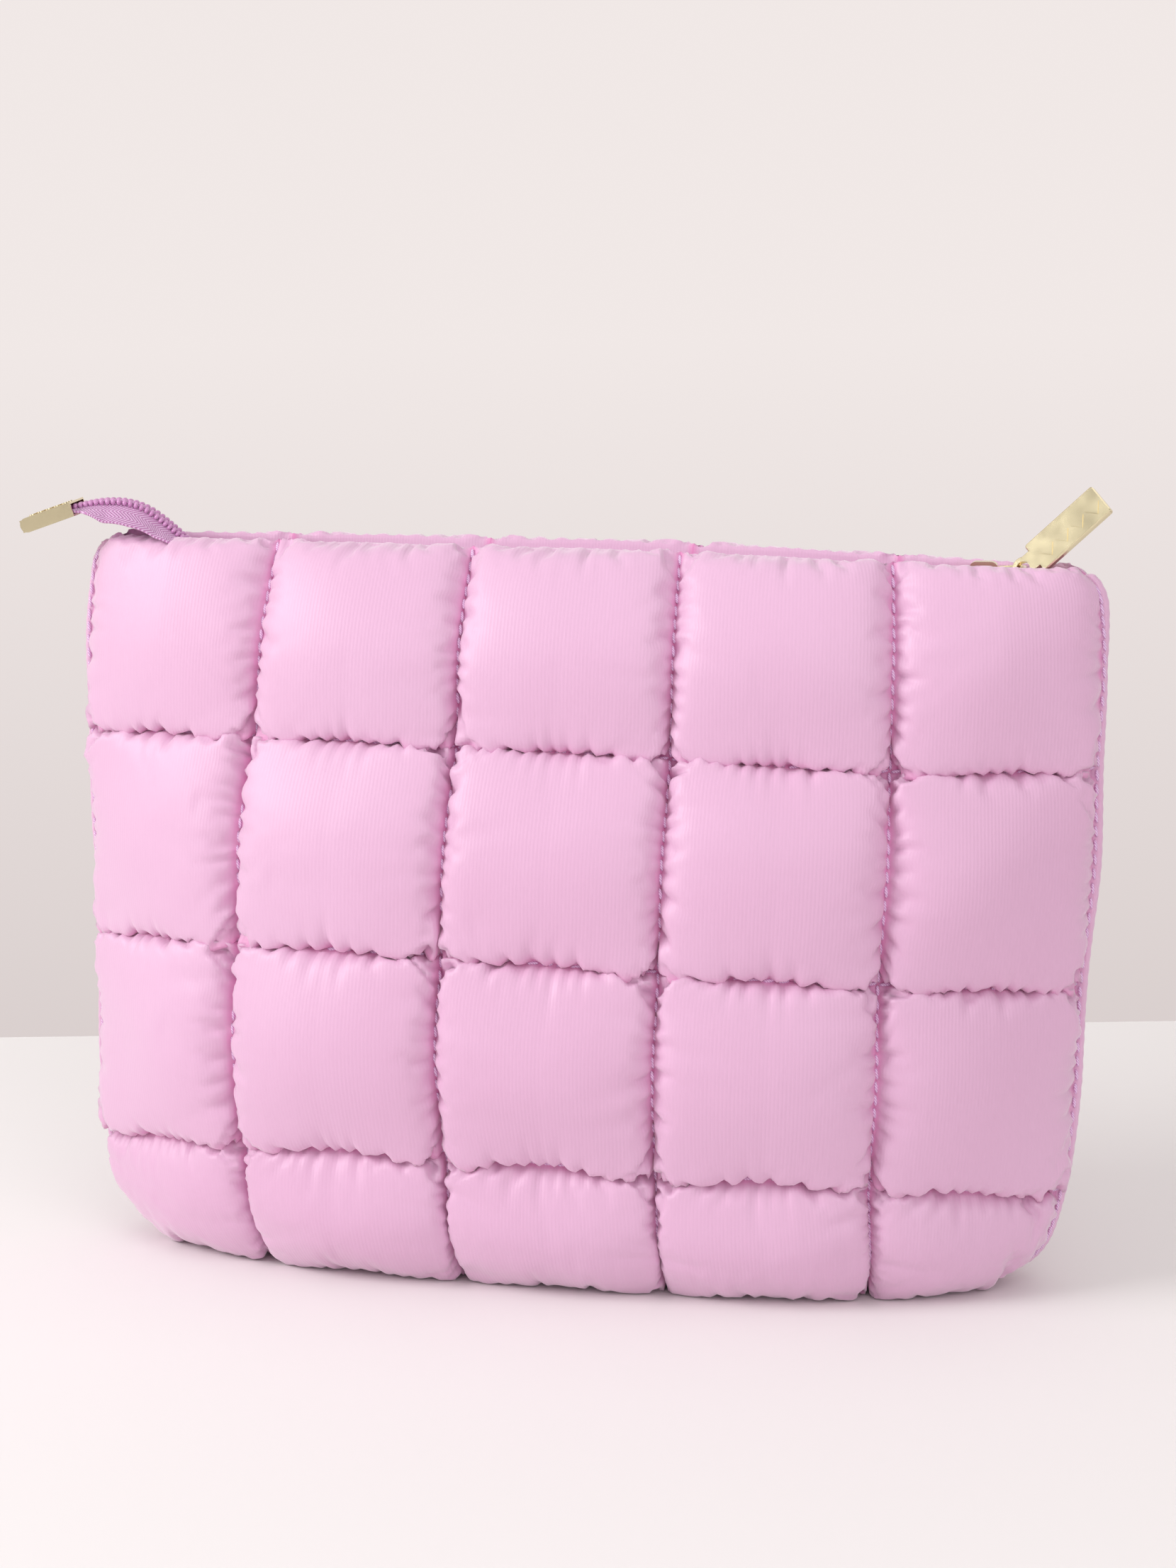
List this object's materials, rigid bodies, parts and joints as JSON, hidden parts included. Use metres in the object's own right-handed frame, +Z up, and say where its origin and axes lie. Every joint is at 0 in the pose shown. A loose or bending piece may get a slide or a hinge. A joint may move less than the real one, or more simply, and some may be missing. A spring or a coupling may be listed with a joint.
{
  "type": "quilted makeup bag",
  "caption": "Padded, quilted fabric pouch with a flat base, a top zip with a flat metal pull, and a loose zip tail ending in a metal clip.",
  "frame": {"origin": "middle of the underside of the base, on the surface the bag stands on", "axes": "+X to the right along the zip, from the loose tail to the closed end; +Y from the front wall to the back wall; +Z up"},
  "size_m": [0.2652, 0.0796, 0.1938],
  "materials": {
    "quilted_nylon": "soft satin nylon with a fine upright rib",
    "wadding": "matt white fibre",
    "lining": "smooth, slightly shiny lining fabric",
    "zip_tape": "matt herringbone weave",
    "zip_coil": "satin nylon",
    "gold_metal": "polished pale gold plating"
  },
  "bodies": {
    "base": {"base_panel": "quilted_nylon", "base_wadding": "wadding", "base_lining": "lining", "left_side_seam": "quilted_nylon", "right_side_seam": "quilted_nylon"},
    "front_wall": {"front_panel": "quilted_nylon", "front_wadding": "wadding", "front_lining": "lining", "front_zip_tape": "zip_tape", "front_zip_coil": "zip_coil", "front_top_stop": "gold_metal"},
    "back_wall": {"back_panel": "quilted_nylon", "back_wadding": "wadding", "back_lining": "lining", "back_zip_tape": "zip_tape", "back_zip_coil": "zip_coil", "back_top_stop": "gold_metal"},
    "slider": {"slider_body": "gold_metal", "slider_crown": "gold_metal"},
    "link": {"pull_link": "gold_metal"},
    "pull": {"pull_tab": "gold_metal"},
    "tail": {"tail_tape_front": "zip_tape", "tail_tape_back": "zip_tape", "tail_coil_front": "zip_coil", "tail_coil_back": "zip_coil", "tail_clip": "gold_metal"}
  },
  "joints": [
    {"name": "front_wall_open", "type": "hinge", "parent": "base", "child": "front_wall", "pos_m": [0, -0.022, 0.0035], "axis": [1, 0, 0], "range_deg": [0, 8]},
    {"name": "back_wall_open", "type": "hinge", "parent": "base", "child": "back_wall", "pos_m": [0, 0.022, 0.0035], "axis": [-1, 0, 0], "range_deg": [0, 8]},
    {"name": "slider_slide", "type": "slide", "parent": "base", "child": "slider", "axis": [-1, 0, 0], "range_m": [0, 0.146], "deforming": ["front_zip_tape", "back_zip_tape", "front_zip_coil", "back_zip_coil"]},
    {"name": "link_swing", "type": "hinge", "parent": "slider", "child": "link", "pos_m": [0.0976, 0, 0.1741], "axis": [0, -1, 0], "range_deg": [0, 100]},
    {"name": "pull_swing", "type": "hinge", "parent": "link", "child": "pull", "pos_m": [0.10638, 0, 0.17471], "axis": [0, -1, 0], "range_deg": [-6, 34]},
    {"name": "tail_flop", "type": "hinge", "parent": "base", "child": "tail", "pos_m": [-0.089, 0, 0.169], "axis": [0, 1, 0], "range_deg": [-6, 25]}
  ],
  "couplings": [
    {"joint": "back_wall_open", "follows": "front_wall_open", "ratio": 1},
    {"joint": "slider_slide", "follows": "front_wall_open", "m_per_rad": 1.045}
  ]
}
